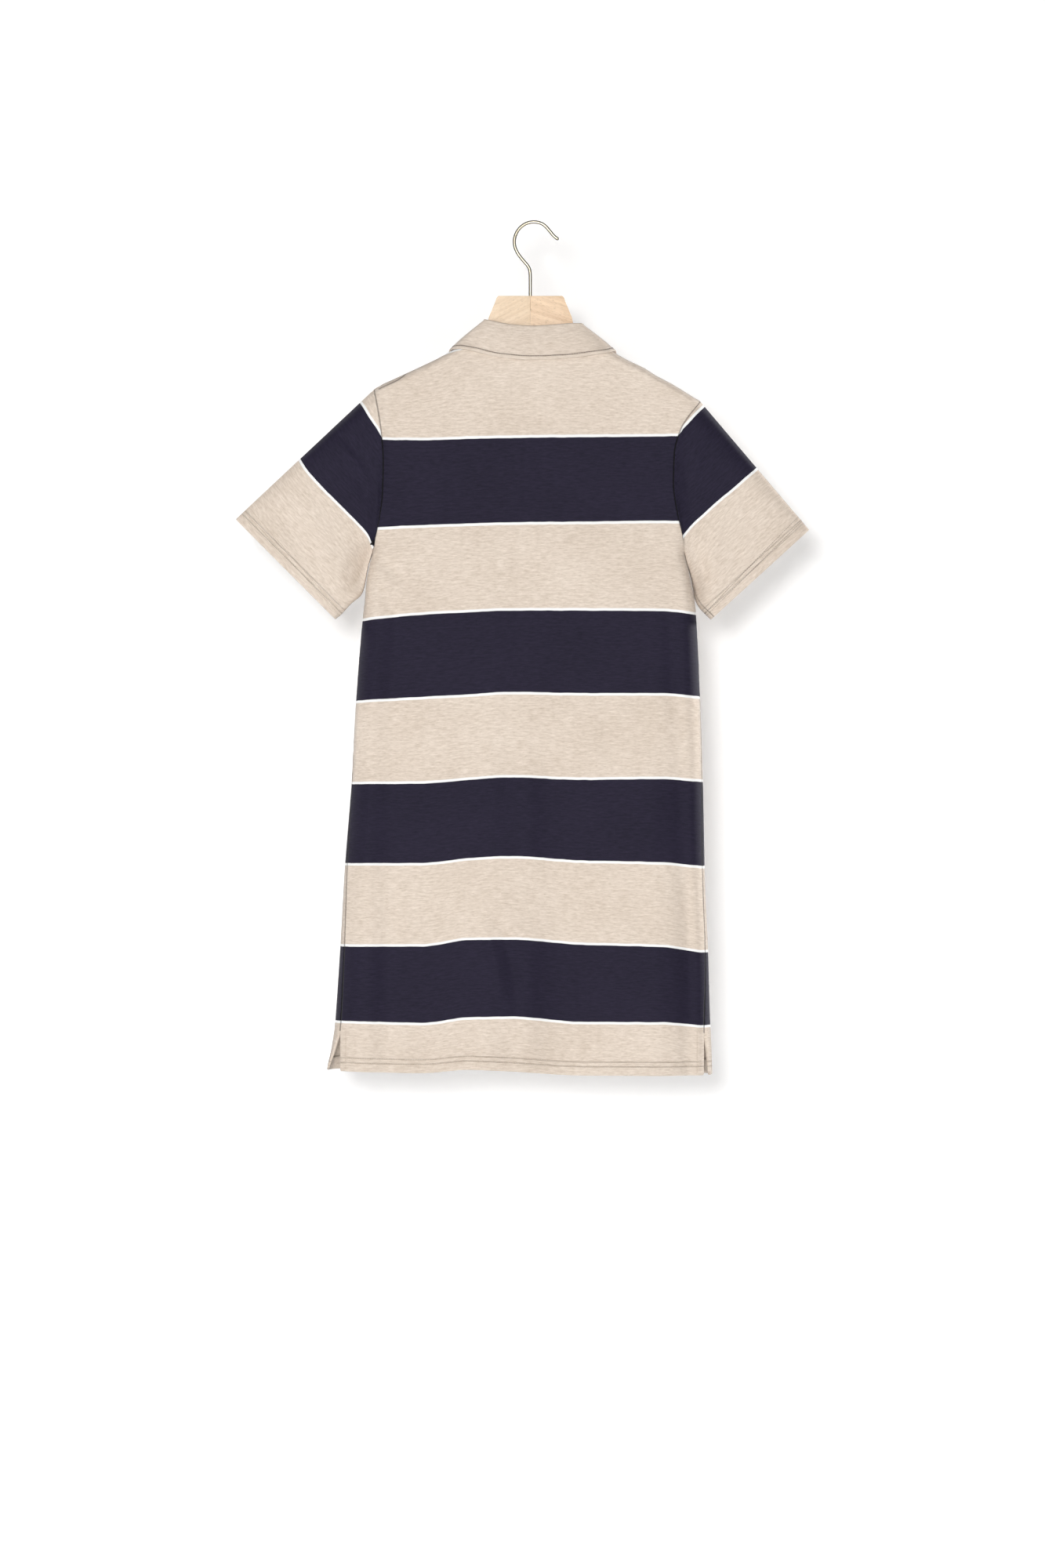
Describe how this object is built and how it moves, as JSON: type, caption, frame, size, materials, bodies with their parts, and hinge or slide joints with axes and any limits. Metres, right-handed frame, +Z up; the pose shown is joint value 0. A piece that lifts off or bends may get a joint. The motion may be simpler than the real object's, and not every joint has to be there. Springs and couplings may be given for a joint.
{
  "type": "polo dress on a hanger",
  "caption": "Short-sleeved jersey polo dress in wide bands, with a fold-over collar, a buttoned placket and side slits, hanging flat on a wooden hanger.",
  "frame": {"origin": "the hanging point: the inside top of the hook's bend, which lies on the rail", "axes": "+Z up, +Y towards the front of the dress, so that its back faces -Y, and +X to the right of someone who looks at the back"},
  "size_m": [0.7082, 0.0872, 1.0548],
  "materials": {
    "jersey": "heather knit with wide dark bands",
    "button": "satin",
    "beech": "satin lacquer",
    "hook_wire": "polished"
  },
  "bodies": {
    "root": {"back_panel": "jersey", "front_panel": "jersey", "sleeve_left": "jersey", "sleeve_right": "jersey", "collar": "jersey", "placket_top": "jersey", "placket_under": "jersey", "button_1": "button", "button_2": "button", "button_3": "button", "hanger_arm_left": "beech", "hanger_arm_right": "beech", "hanger_hook": "hook_wire"}
  },
  "joints": []
}
